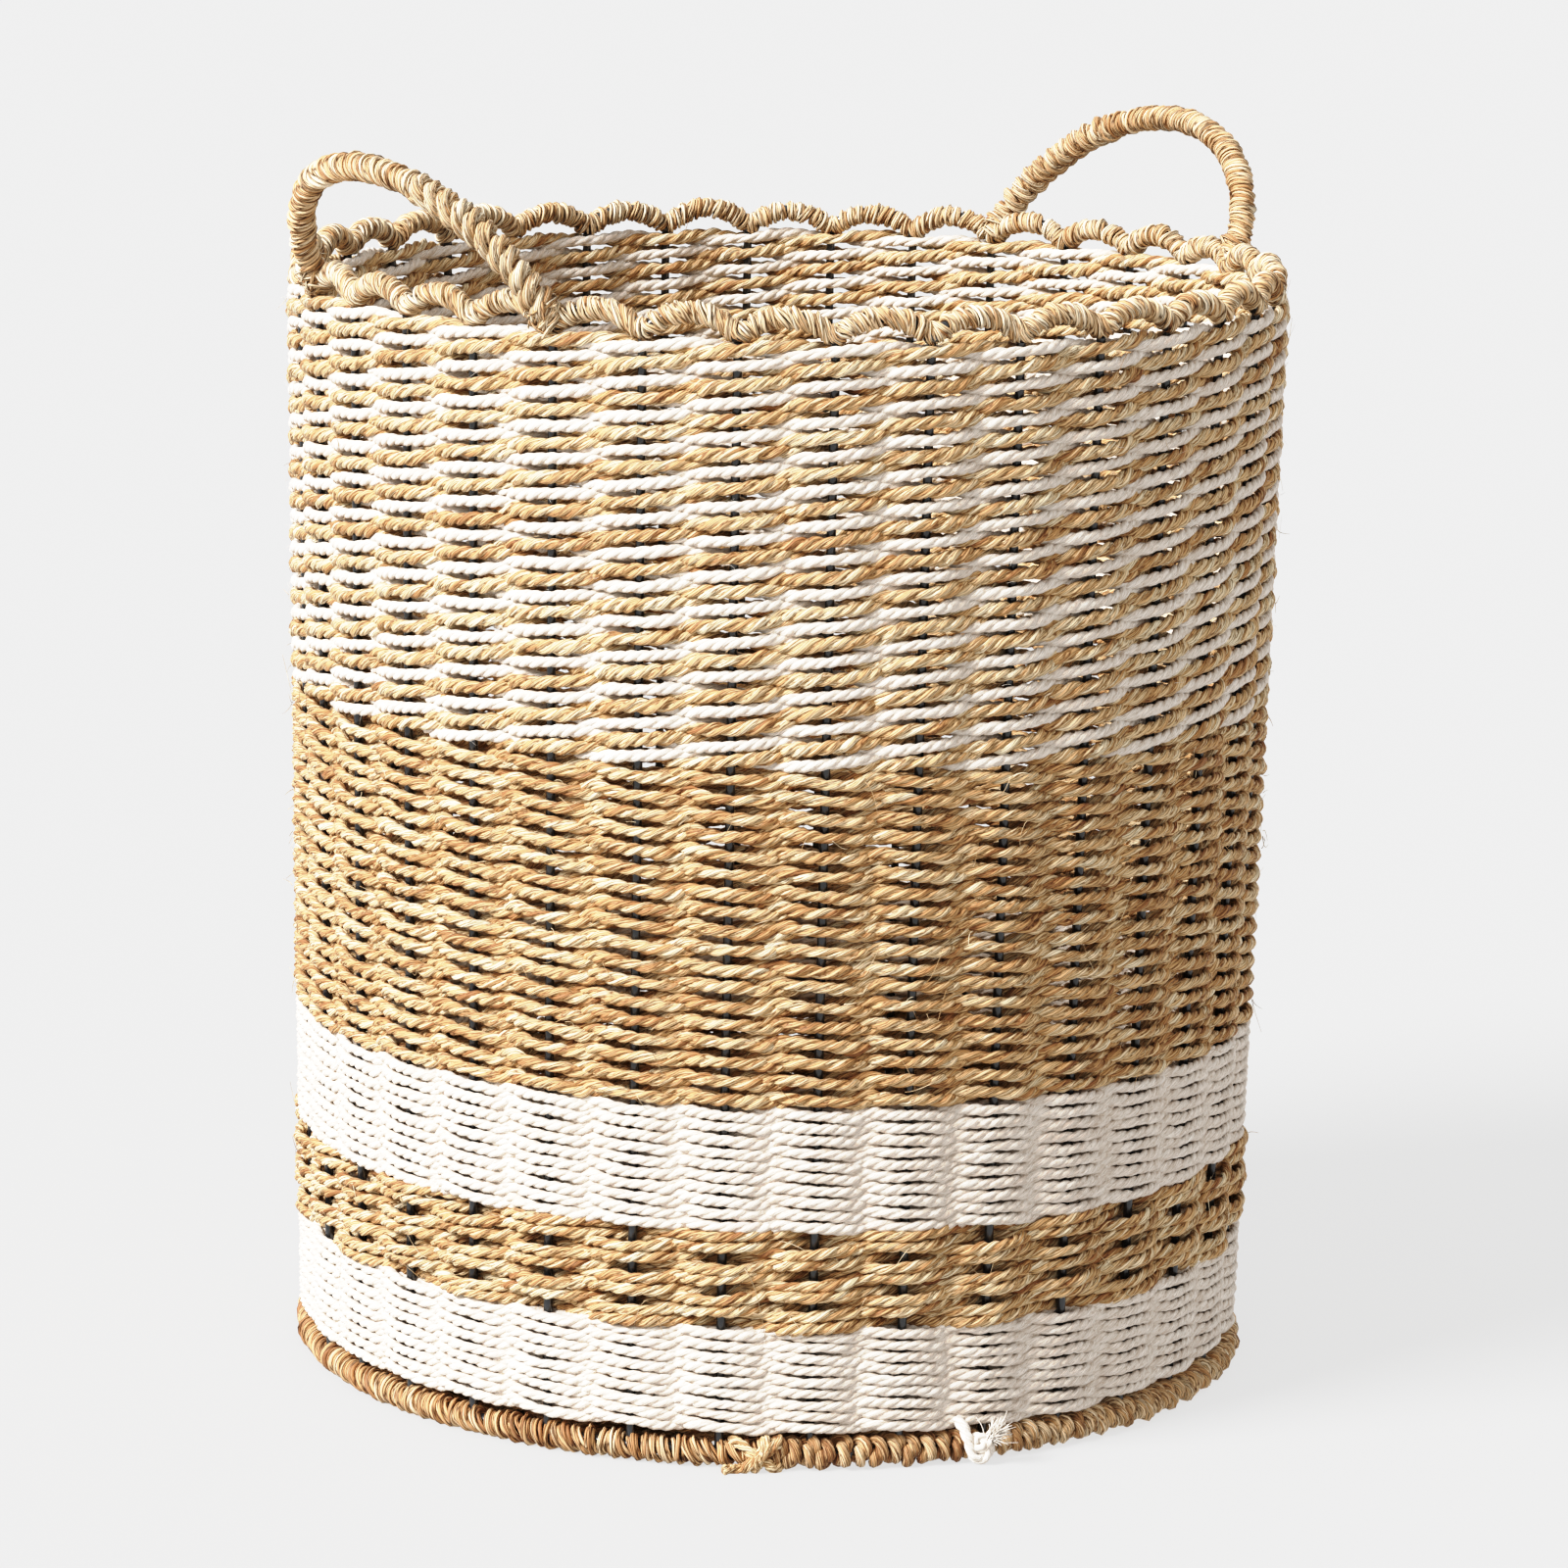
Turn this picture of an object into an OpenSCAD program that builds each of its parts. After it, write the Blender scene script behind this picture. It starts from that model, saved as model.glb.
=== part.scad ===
// Woven laundry basket on a wire frame, with two raised carrying handles.
// Millimetres, +Z up. The origin is the middle of the foot, on the floor.
// The handles stand at +X and -X.

/* [Frame] */
// Number of upright stakes round the wall
stake_count = 34; // [34:1:34]
// Diameter of each upright stake
stake_d = 3.6; // [3:0.1:4.2]
// Radius of the ring of stakes at the rim
rim_r = 200; // [195:1:205]
// Radius of the ring of stakes at the foot
foot_r = 193; // [190:1:200]
// Height of the stake tops, where the rim wire is welded on
rim_z = 447.6; // [440:0.2:470]
// Diameter of the rim wire
rim_wire_d = 4; // [3.5:0.1:4.2]
// Rise of each rim arch between two stakes
arch_rise = 7.6; // [7:0.1:10]
// Diameter of the foot hoop
hoop_d = 5; // [4:0.1:5.4]

/* [Handles] */
// Diameter of the handle wire
handle_wire_d = 5; // [4:0.1:5.2]
// Gaps between stakes that each handle spans
handle_gaps = 4; // [4:2:4]
// Rise of a handle above its feet, measured along the handle
handle_rise = 66.2; // [60:0.2:70]
// Outward lean of the handles from upright, in degrees
handle_lean = 33; // [25:0.1:40]

/* [Wraps] */
// Outer diameter of the seagrass wrap on the rim
rim_wrap_d = 10; // [9:0.5:10.5]
// Outer diameter of the seagrass wrap on the handles
handle_wrap_d = 11.4; // [10:0.2:12]
// Outer diameter of the seagrass wrap on the foot
foot_wrap_d = 11.4; // [11:0.2:12]

/* [Wall] */
// Thickness of the woven wall
wall_t = 12; // [11:0.5:13]
// Thickness of the wall at the bundled seagrass band
thick_t = 15; // [13:0.5:16]
// Heights of the edges of the five woven bands, from the foot up
band_z = [14.5, 57, 96, 146, 280, 442.2]; // [0:0.1:450]

/* [Base] */
// Number of spokes under the woven base
spoke_count = 17; // [17:1:17]
// Diameter of each spoke
spoke_d = 3.2; // [3:0.1:3.4]
// Height of the spokes' axes above the floor
spoke_z = 9.2; // [9:0.1:9.5]
// Radius of the ring that the spokes meet in the middle
base_ring_r = 22; // [21:1:23]
// Thickness of the woven base
base_t = 11.6; // [11:0.2:12]

/* [Hidden] */
$fn = 48;
clear = 0.3;
weld = 0.3;
step_deg = 360 / stake_count;
spoke_deg = 360 / spoke_count;
hoop_z = foot_wrap_d / 2;
stake_tilt = atan((rim_r - foot_r) / (rim_z - hoop_z));
bead_r = 0.85 * rim_wire_d;
stake_low = hoop_d / 2 - weld;
stake_top = norm([rim_r - foot_r, rim_z - hoop_z]) - bead_r + weld;

// Rim arches: each is a circular arc in the upright plane through two stake tops
arch_half = rim_r * sin(step_deg / 2);
arch_mid = rim_r * cos(step_deg / 2);
arch_r = (arch_half * arch_half + arch_rise * arch_rise) / (2 * arch_rise);
arch_deg = asin(arch_half / arch_r);
// Where two arches meet in a notch, their wires end inside a bead of weld
arch_end_deg = asin((rim_wire_d / 2 / tan(90 - arch_deg) + 0.1) / arch_r);
// and their wraps end this many degrees early
notch_deg = asin((rim_wrap_d / 2 / tan(90 - arch_deg) + clear) / arch_r);

// Handles: each is a circular arc in a plane that leans out through two stake tops
handle_half_deg = handle_gaps * step_deg / 2;
handle_half = rim_r * sin(handle_half_deg);
handle_mid = rim_r * cos(handle_half_deg);
handle_r = (handle_half * handle_half + handle_rise * handle_rise) / (2 * handle_rise);
handle_deg = acos((handle_r - handle_rise) / handle_r);
// Bare length of wire at each handle foot, where the rim's wraps come past
handle_bare = 13.5;

// Woven base
base_out = foot_r - foot_wrap_d / 2 - 1;
base_in = base_ring_r + spoke_d / 2 + clear;
centre_r = base_ring_r - spoke_d / 2 - clear;

// Knots: angle round the wall, and size
cotton_knot_deg = -107;
seagrass_knot_deg = -133;
cotton_knot_r = 5;
seagrass_knot_r = 4;

seagrass_colour = [0.80, 0.62, 0.38];
cotton_colour = [0.93, 0.90, 0.85];
mixed_colour = [0.87, 0.77, 0.62];
wire_colour = [0.13, 0.14, 0.15];

// ---- Shared geometry ----

// Radius of the stake ring at height z
function wall_r(z) = foot_r + (rim_r - foot_r) * (z - hoop_z) / (rim_z - hoop_z);

// Name of stake k, counted from 1 at +X
function stake_name(k) = str("stake_", k < 10 ? "0" : "", k);

// Puts its child at the foot of stake k, with +Z along the stake
module at_stake(k) {
    rotate([0, 0, (k - 1) * step_deg])
        translate([foot_r, 0, hoop_z])
            rotate([0, stake_tilt, 0])
                children();
}

// One rod per stake, from low to high along the stakes
module all_stakes(d, low, high) {
    for (k = [1 : stake_count])
        at_stake(k)
            translate([0, 0, low])
                cylinder(d = d, h = high - low);
}

// One rod per spoke, from radius low to radius high
module all_spokes(d, low, high) {
    for (j = [0 : spoke_count - 1])
        rotate([0, 0, (j + 0.25) * spoke_deg])
            translate([low, 0, spoke_z])
                rotate([0, 90, 0])
                    cylinder(d = d, h = high - low);
}

// A bent tube or rod in the YZ plane, centred on +Z, half_deg to each side
module upright_arc(bend_r, half_deg, outer_d, inner_d = 0) {
    rotate([90, 0, 90])
        rotate([0, 0, 90 - half_deg])
            rotate_extrude(angle = 2 * half_deg)
                translate([bend_r, 0]) {
                    difference() {
                        circle(d = outer_d);
                        if (inner_d > 0)
                            circle(d = inner_d);
                    }
                }
}

// Puts its child in the upright plane of each rim arch
module each_arch() {
    for (k = [0 : stake_count - 1])
        rotate([0, 0, (k + 0.5) * step_deg])
            translate([arch_mid, 0, rim_z + arch_rise - arch_r])
                children();
}

// Puts its child in the leaning plane of the handle at the given angle
module at_handle(side_deg) {
    rotate([0, 0, side_deg])
        translate([handle_mid, 0, rim_z])
            rotate([0, handle_lean, 0])
                translate([0, 0, handle_rise - handle_r])
                    children();
}

// A woven band: a slightly conical wall between two heights, bored for the stakes
module woven_band(low, high, thickness) {
    difference() {
        rotate_extrude()
            polygon([
                [wall_r(low) - thickness / 2, low],
                [wall_r(low) + thickness / 2, low],
                [wall_r(high) + thickness / 2, high],
                [wall_r(high) - thickness / 2, high]
            ]);
        all_stakes(stake_d + 2 * clear, 0, stake_top);
    }
}

// ---- Sub-parts ----

module stake(k) {
    color(wire_colour)
        at_stake(k)
            translate([0, 0, stake_low])
                cylinder(d = stake_d, h = stake_top - stake_low);
}

module rim_wire() {
    color(wire_colour)
        union() {
            each_arch()
                upright_arc(arch_r, arch_deg - arch_end_deg, rim_wire_d);
            for (k = [0 : stake_count - 1])
                rotate([0, 0, k * step_deg])
                    translate([rim_r, 0, rim_z])
                        sphere(r = bead_r);
        }
}

module rim_wrap() {
    color(seagrass_colour)
        each_arch()
            upright_arc(arch_r, arch_deg - notch_deg, rim_wrap_d, rim_wire_d + clear);
}

module foot_hoop() {
    color(wire_colour)
        rotate_extrude()
            translate([foot_r, hoop_z])
                circle(d = hoop_d);
}

// The wrap's underside is pressed flat where the basket stands
module foot_wrap() {
    flat = 0.5;
    color(seagrass_colour)
        difference() {
            rotate_extrude()
                difference() {
                    intersection() {
                        translate([foot_r, hoop_z - flat])
                            circle(d = foot_wrap_d);
                        translate([foot_r - foot_wrap_d, 0])
                            square([2 * foot_wrap_d, 2 * foot_wrap_d]);
                    }
                    translate([foot_r, hoop_z])
                        circle(d = hoop_d + clear);
                }
            all_stakes(stake_d + 2 * clear, 0, foot_wrap_d);
            all_spokes(spoke_d + 2 * clear, foot_r - foot_wrap_d, foot_r);
        }
}

module handle_wire(side_deg) {
    weld_deg = asin((bead_r - weld) / handle_r);
    color(wire_colour)
        at_handle(side_deg)
            upright_arc(handle_r, handle_deg - weld_deg, handle_wire_d);
}

module handle_wrap(side_deg) {
    bare_deg = asin(handle_bare / handle_r);
    color(seagrass_colour)
        at_handle(side_deg)
            upright_arc(handle_r, handle_deg - bare_deg, handle_wrap_d, handle_wire_d + clear);
}

module base_ring() {
    color(wire_colour)
        rotate_extrude()
            translate([base_ring_r, spoke_z])
                circle(d = spoke_d);
}

// Every spoke runs from the middle ring to a seat on top of the foot hoop
module base_spokes() {
    color(wire_colour)
        all_spokes(spoke_d, base_ring_r + spoke_d / 2 - weld, foot_r - 0.5);
}

module base_weave() {
    color(seagrass_colour)
        difference() {
            rotate_extrude()
                translate([base_in, spoke_z - base_t / 2])
                    square([base_out - base_in, base_t]);
            all_spokes(spoke_d + 2 * clear, base_in - 1, base_out + 1);
        }
}

module base_centre() {
    color(seagrass_colour)
        translate([0, 0, spoke_z - base_t / 2])
            cylinder(r = centre_r, h = base_t);
}

module mixed_weave() {
    color(mixed_colour)
        woven_band(band_z[4] + clear, band_z[5], wall_t);
}

module seagrass_weave() {
    color(seagrass_colour)
        woven_band(band_z[3] + clear, band_z[4], wall_t);
}

module upper_cotton_weave() {
    color(cotton_colour)
        woven_band(band_z[2] + clear, band_z[3], wall_t);
}

module thick_seagrass_weave() {
    color(seagrass_colour)
        woven_band(band_z[1] + clear, band_z[2], thick_t);
}

module lower_cotton_weave() {
    color(cotton_colour)
        woven_band(band_z[0], band_z[1], wall_t);
}

// A round knot outside the wall with a short tail that hangs beside the foot
module knot(side_deg, knot_r, knot_z, stand_off, tail) {
    rotate([0, 0, side_deg])
        translate([foot_r + stand_off + knot_r, 0, knot_z]) {
            sphere(r = knot_r);
            translate([0, 0, -tail])
                cylinder(r1 = 0.35 * knot_r, r2 = 0.6 * knot_r, h = tail);
        }
}

module cotton_knot() {
    color(cotton_colour)
        knot(cotton_knot_deg, cotton_knot_r, 19, wall_t / 2 + 2 * clear, 15);
}

module seagrass_knot() {
    color(seagrass_colour)
        knot(seagrass_knot_deg, seagrass_knot_r, 9, foot_wrap_d / 2 + clear, 6);
}

for (k = [1 : stake_count]) {
    stake(k);
}
rim_wire();
rim_wrap();
foot_hoop();
foot_wrap();
handle_wire(180);  // left_handle_wire
handle_wrap(180);  // left_handle_wrap
handle_wire(0);  // right_handle_wire
handle_wrap(0);  // right_handle_wrap
base_ring();
base_spokes();
base_weave();
base_centre();
mixed_weave();
seagrass_weave();
upper_cotton_weave();
thick_seagrass_weave();
lower_cotton_weave();
cotton_knot();
seagrass_knot();
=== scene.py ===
"""Woven laundry basket: twined cotton and seagrass ropes on a black wire frame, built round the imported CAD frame."""

import bpy
import math
import numpy as np
from mathutils import Matrix, Vector


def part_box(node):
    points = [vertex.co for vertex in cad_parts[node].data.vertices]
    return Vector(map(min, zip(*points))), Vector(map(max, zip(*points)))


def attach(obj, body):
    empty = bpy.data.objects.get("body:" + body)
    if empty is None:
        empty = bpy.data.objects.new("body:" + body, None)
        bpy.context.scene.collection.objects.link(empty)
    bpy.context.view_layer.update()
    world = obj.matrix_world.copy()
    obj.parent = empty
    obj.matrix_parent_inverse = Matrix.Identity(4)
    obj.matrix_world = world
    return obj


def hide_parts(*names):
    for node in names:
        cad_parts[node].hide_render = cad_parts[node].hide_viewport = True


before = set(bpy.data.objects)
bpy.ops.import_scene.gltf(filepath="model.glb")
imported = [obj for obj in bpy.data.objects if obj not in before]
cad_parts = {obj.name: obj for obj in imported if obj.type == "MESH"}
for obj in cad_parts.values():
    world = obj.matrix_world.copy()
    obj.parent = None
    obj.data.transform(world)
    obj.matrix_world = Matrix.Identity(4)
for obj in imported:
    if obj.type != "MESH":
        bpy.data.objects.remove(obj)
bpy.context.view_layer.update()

# ---------------------------------------------------------------- sizes: off the frame, and the part's own

MM = 0.001
BODY = "root"
TAU = 2 * math.pi


def box(node):
    lo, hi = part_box(node)
    return np.array(lo), np.array(hi)


def mid_height(node):
    lo, hi = box(node)
    return (lo[2] + hi[2]) / 2


stake_lo, stake_hi = box("stake_01")  # the stake on +X
STAKES = sum(name.startswith("stake_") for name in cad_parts)
GAP = TAU / STAKES  # angle between two stakes
STAKE_R = (stake_hi[1] - stake_lo[1]) / 2
FOOT_R = stake_lo[0] + STAKE_R
RIM_R = stake_hi[0] - STAKE_R
HOOP_Z = mid_height("foot_hoop")
RIM_WRAP_R = 5.0 * MM
ARCH_RISE = 7.6 * MM  # of one scallop of the rim wire
RIM_Z = box("rim_wrap")[1][2] - RIM_WRAP_R - ARCH_RISE  # the feet of the scallops
HANDLE_LEAN = math.radians(33)
HANDLE_GAPS = 4  # gaps between stakes that a handle spans
HANDLE_RISE = 66.2 * MM  # of a handle's arc, along its lean
SPOKE_Z = mid_height("base_ring")
SPOKE_R = 1.6 * MM
SPOKES = STAKES // 2
BASE_OUT = box("base_weave")[1][0]
BASE_RING_R = box("base_ring")[1][0]

SEEDS = {
    "row_sway": 3, "rim_line": 11, "mixed_weave": 21, "seagrass_weave": 22, "upper_cotton_weave": 23,
    "thick_seagrass_weave": 24, "lower_cotton_weave": 25, "strays": 26, "rim_wrap": 31, "left_handle_wrap": 41,
    "right_handle_wrap": 42, "foot_wrap": 51, "base_weave": 61, "cotton_knot": 71, "seagrass_knot": 81,
}


def seeded(name):
    return np.random.default_rng(SEEDS[name])


def wall_radius(z):
    """Radius of the ring of stakes at height z."""
    return FOOT_R + (RIM_R - FOOT_R) * (z - HOOP_Z) / (RIM_Z - HOOP_Z)


# ---------------------------------------------------------------- smooth noise


class Waves:
    """Smooth periodic noise of an angle: a few sine waves with random phases, about -1 to 1."""

    def __init__(self, rng, counts, second=0.0):
        self.counts = np.array(counts, float)
        self.phase = rng.uniform(0, TAU, len(counts))
        self.size = rng.uniform(0.5, 1.0, len(counts))
        self.size /= np.sqrt((self.size**2).sum())
        self.second = rng.uniform(-second, second, len(counts))

    def __call__(self, angle, other=0.0):
        angle = np.asarray(angle, float)[..., None]
        other = np.asarray(other, float)[..., None]
        return (np.sin(angle * self.counts + self.phase + other * self.second) * self.size).sum(-1)


# ---------------------------------------------------------------- mesh building


class Mesh:
    """Collects tubes, then makes one object of them, with a fibre coordinate and a tint for the materials."""

    def __init__(self, name, node_names, material):
        self.name, self.node_names, self.material = name, node_names, material
        self.points, self.fibre, self.tint = [], [], []
        self.faces, self.caps = [], []
        self.count = 0

    def quads(self):
        return sum(len(f) for f in self.faces)

    def tube(self, rings, along, around, tint, closed):
        """rings (n, m, 3): the tube's surface. along (n,) and around (n, m, 2): where the fibres run."""
        n, m, _ = rings.shape
        index = np.arange(n * m).reshape(n, m) + self.count
        across = np.roll(index, -1, axis=1)
        if closed:
            a, b, c, d = index, across, np.roll(across, -1, axis=0), np.roll(index, -1, axis=0)
        else:
            a, b, c, d = index[:-1], across[:-1], across[1:], index[1:]
            self.caps += [index[0], index[-1][::-1]]
        self.faces.append(np.stack([a, d, c, b], -1).reshape(-1, 4))
        self.points.append(rings.reshape(-1, 3))
        fibre = np.concatenate([np.broadcast_to(along[:, None, None], (n, m, 1)), around], -1)
        self.fibre.append(fibre.reshape(-1, 3))
        self.tint.append(np.broadcast_to(tint[:, None], (n, m)).reshape(-1))
        self.count += n * m

    def make(self):
        points = np.concatenate(self.points)
        quads = np.concatenate(self.faces)
        corners = [quads.reshape(-1)] + [np.array(c) for c in self.caps]
        sizes = np.concatenate([np.full(len(quads), 4), np.array([len(c) for c in self.caps], int)])
        starts = np.concatenate([[0], np.cumsum(sizes)[:-1]])
        loops = np.concatenate(corners)
        me = bpy.data.meshes.new(self.name)
        me.vertices.add(len(points))
        me.vertices.foreach_set("co", points.astype(np.float32).ravel())
        me.loops.add(len(loops))
        me.loops.foreach_set("vertex_index", loops.astype(np.int32))
        me.polygons.add(len(starts))
        me.polygons.foreach_set("loop_start", starts.astype(np.int32))
        me.polygons.foreach_set("use_smooth", np.ones(len(starts), bool))
        fibre = me.attributes.new("fibre", "FLOAT_VECTOR", "POINT")
        fibre.data.foreach_set("vector", np.concatenate(self.fibre).astype(np.float32).ravel())
        tint = me.attributes.new("tint", "FLOAT", "POINT")
        tint.data.foreach_set("value", np.concatenate(self.tint).astype(np.float32))
        me.update(calc_edges=True)
        me.materials.append(self.material)
        obj = bpy.data.objects.new(self.name, me)
        bpy.context.scene.collection.objects.link(obj)
        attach(obj, BODY)
        if self.node_names:
            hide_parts(*self.node_names)
        return obj


TINY = 1e-12  # keeps a length of nothing from being divided by


def unit(v):
    return v / np.maximum(np.linalg.norm(v, axis=-1, keepdims=True), TINY)


def polar(radius, angle, z):
    """Points at a radius from the basket's axis, at an angle round it and at a height."""
    return np.stack(np.broadcast_arrays(radius * np.cos(angle), radius * np.sin(angle), z), -1)


def away(angle):
    """Level directions away from the basket's axis."""
    return polar(1.0, angle, 0.0)


LEVEL = np.array([1, 1, 0])  # takes the height out of a point or a direction


def steps(points, closed):
    """Length from each point to the next, the last one's being 0 on an open line."""
    nxt = np.roll(points, -1, axis=0)
    d = np.linalg.norm(nxt - points, axis=-1)
    if not closed:
        d[-1] = 0
    return d


def tangents(points, closed):
    if closed:
        return unit(np.roll(points, -1, axis=0) - np.roll(points, 1, axis=0))
    return unit(np.gradient(points, axis=0))


def cross_section_axes(centre, outward, closed):
    """Axes square to the line: one nearest to outward, and one nearest to up."""
    t = tangents(centre, closed)
    out = unit(outward - (outward * t).sum(-1, keepdims=True) * t)
    return out, np.cross(t, out) * -1


def pattern_start(rng):
    """A random place in the pattern of fibres, so that no two ropes show the same part of it."""
    return rng.uniform(0, 40)


class Yarn:
    """What a rope is made of: radius of the rope; its plies, and the length in which they turn once round it; the
    sides of a ply's cross-section and the distance between two of them; core, how far off the middle a ply lies, in
    radii; how uneven it is; how far its plies differ in tint; and the length in which the fibres turn round a ply."""

    def __init__(self, radius, plies, lay, sides, spacing, core, uneven, tint_spread, fibre_turn):
        self.radius, self.plies, self.lay, self.sides = radius, plies, lay, sides
        self.spacing, self.core, self.uneven, self.tint_spread = spacing, core, uneven, tint_spread
        self.fibre_turn = fibre_turn


COTTON = Yarn(2.4 * MM, 3, 17 * MM, 6, 2.1 * MM, 0.42, 0.06, 0.16, 20 * MM)
SEAGRASS = Yarn(2.5 * MM, 3, 19 * MM, 6, 2.1 * MM, 0.47, 0.14, 0.22, 28 * MM)
THICK_TWIST = Yarn(3.2 * MM, 2, 15 * MM, 8, 1.3 * MM, 0.40, 0.12, 0.2, 20 * MM)  # round the foot
BUNDLE = Yarn(3.0 * MM, 4, 24 * MM, 6, 1.3 * MM, 0.52, 0.14, 0.22, 40 * MM)  # on the handles' fat legs
SLOW_SWELL = 60 * MM  # length of rope in which its thickness comes and goes once
PLY_OVERLAP = 0.04  # plies are this much thicker than would just touch, in radii


def twist_rope(mesh, centre, out, up, yarn, rng, closed, flat_out=1.0, flat_up=1.0, size=1.0, tone=0.5):
    """Plies laid round a centre line. out and up are the cross-section's axes, and flat_out and flat_up how it is
    squeezed along each; tone is how pale it is, 0 to 1."""
    n = len(centre)
    step = steps(centre, closed)
    length = step.sum()
    along = np.concatenate([[0], np.cumsum(step)[:-1]])
    lay = yarn.lay * rng.uniform(0.85, 1.2)
    turns = length / lay
    if closed:
        turns = max(1, round(turns))
    angle = TAU * turns * along / length + rng.uniform(0, TAU)
    share = along / length * TAU
    slow = max(3, int(length / SLOW_SWELL))
    flat_out = np.broadcast_to(flat_out, (n,))[:, None]
    flat_up = np.broadcast_to(flat_up, (n,))[:, None]
    size = np.broadcast_to(size, (n,))
    around = TAU * np.arange(yarn.sides) / yarn.sides
    for ply in range(yarn.plies):
        swell = 1 + yarn.uneven * Waves(rng, [slow, slow * 2 + 1, slow * 4 + 1])(share)
        radius = yarn.radius * size * swell
        psi = angle + TAU * ply / yarn.plies + yarn.uneven * Waves(rng, [slow, slow * 3])(share)
        off_out = yarn.core * radius * np.cos(psi)
        off_up = yarn.core * radius * np.sin(psi)
        ply_r = (1 + PLY_OVERLAP - yarn.core) * radius
        x = (off_out[:, None] + ply_r[:, None] * np.cos(around)) * flat_out
        y = (off_up[:, None] + ply_r[:, None] * np.sin(around)) * flat_up
        rings = centre[:, None] + x[..., None] * out[:, None] + y[..., None] * up[:, None]
        spin = around - along[:, None] * (TAU / yarn.fibre_turn)
        circle = np.stack([np.cos(spin), np.sin(spin)], -1) * ply_r[:, None, None]
        tint = rng.uniform(-1, 1) * yarn.tint_spread
        tint = tone + tint + yarn.tint_spread * 0.6 * Waves(rng, [slow // 2 + 1, slow, slow * 2])(share)
        mesh.tube(rings, along + pattern_start(rng), circle, tint, closed)


# ---------------------------------------------------------------- woven wall

ROW_SWAY = 0.45 * MM
ROW_WAVES = Waves(seeded("row_sway"), [1, 2, 4, 7], second=0.5)
OUTER_BOW, INNER_BOW = 0.8, 2.2  # exponents: a rope bends roundly outside a stake, and sharply inside one
ON_STAKE = 9  # exponent: how briefly a rope keeps the height it has on a stake
SQUEEZE = 0.82  # thickness of a rope against a stake, as a share of its own


def row_sway(angle, height):
    """Slow waves that move neighbouring rows up and down together, since no hand-woven row is level."""
    return ROW_SWAY * ROW_WAVES(angle, height)


def wall_row(mesh, yarn, z_mid, phase, rise, rng, push=0.0, lift=0.0, size=1.0, reach=0.78, level=0.0,
             at_stake=0.86, at_cross=0.78, tone=0.5):
    """One rope of a row: it passes outside a stake, through the wall and inside the next one.
    rise is how far it climbs on each side of a stake, and level, 0 to 1, how level it still is on the stake; push
    and lift move it beside its twin in a bundle; reach is how far it stands off the stakes' surface, in radii;
    at_stake and at_cross are its heights on a stake and between two, as a share of its own."""
    count = int(TAU * wall_radius(z_mid) * 1.02 / yarn.spacing / STAKES) * STAKES
    theta = TAU * np.arange(count) / count
    turn = theta * STAKES / 2 + phase
    weave, slant = np.cos(turn), np.sin(turn)
    bow = np.where(weave > 0, np.abs(weave) ** OUTER_BOW, -np.abs(weave) ** INNER_BOW)
    slow, quick = Waves(rng, [3, 5, 11, 17]), Waves(rng, [23, 31, 34, 43, 51])
    z = z_mid + lift + rise * ((1 - level) * slant + level * slant**3) + row_sway(theta, z_mid)
    z = z + 0.30 * MM * slow(theta) + 0.22 * MM * quick(theta)
    off = (STAKE_R + yarn.radius * reach) * bow
    radial = wall_radius(z) + off + push * np.abs(weave) + 0.25 * MM * Waves(rng, [19, 37, 53])(theta)
    centre = polar(radial, theta, z)
    out, up = cross_section_axes(centre, away(theta), True)
    flat_up = at_cross + (at_stake - at_cross) * np.abs(weave) ** ON_STAKE
    flat_up = flat_up * (1 + 0.07 * Waves(rng, [13, 29, 47, 61])(theta))
    flat_out = 1 + (SQUEEZE - 1) * np.abs(weave) ** 2
    twist_rope(mesh, centre, out, up, yarn, rng, True, flat_out, flat_up, size, tone)


class Piece:
    """Starts a new mesh whenever the last one is full, so that no piece is too big to keep whole."""

    LIMIT = 86000  # quads

    def __init__(self, name, node_names, material):
        self.name, self.node_names, self.material = name, node_names, material
        self.meshes = []

    def mesh(self):
        if not self.meshes or self.meshes[-1].quads() > self.LIMIT:
            number = len(self.meshes) + 1
            self.meshes.append(Mesh(f"{self.name}_{number}", self.node_names, self.material))
        return self.meshes[-1]

    def make(self):
        return [m.make() for m in self.meshes]


def band_edges(node):
    lo, hi = box(node)
    return lo[2], hi[2]


def twined_band(node, rows, strands, rise, sizes, uneven=0.0, shift=0.0, **lie):
    """Rows of two ropes that turn round each other between the stakes. strands: (yarn, piece) twice, and sizes how
    thick each is against its yarn. uneven is how far a row strays, shift how far the top row is above the band."""
    rng = seeded(node)
    low, high = band_edges(node)
    pitch = (high + shift - low) / rows
    for row in range(rows):
        z_mid = low + (row + 0.5) * pitch + rng.uniform(-uneven, uneven)
        for strand in range(2):
            yarn, piece = strands[strand]
            phase = math.pi * (strand + row)
            size = sizes[strand] * rng.uniform(0.96, 1.05)
            wall_row(piece.mesh(), yarn, z_mid, phase, rise, rng, size=size, **lie)


def bundled_band(node, rows, ropes, piece):
    """Rows of ropes side by side that go outside one stake and inside the next."""
    rng = seeded(node)
    low, high = band_edges(node)
    pitch = (high - low) / rows
    for row in range(rows):
        z_mid = low + (row + 0.5) * pitch
        for rope in range(ropes):
            lift = (rope - (ropes - 1) / 2) * 2 * SEAGRASS.radius * 0.88
            push = rng.uniform(0.0, 1.2) * MM
            rise = rng.uniform(0.1, 0.8) * MM
            wall_row(piece.mesh(), SEAGRASS, z_mid, math.pi * row, rise, rng, push=push, lift=lift,
                     size=rng.uniform(1.02, 1.15), reach=0.98, at_stake=0.92, at_cross=0.96)


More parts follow.
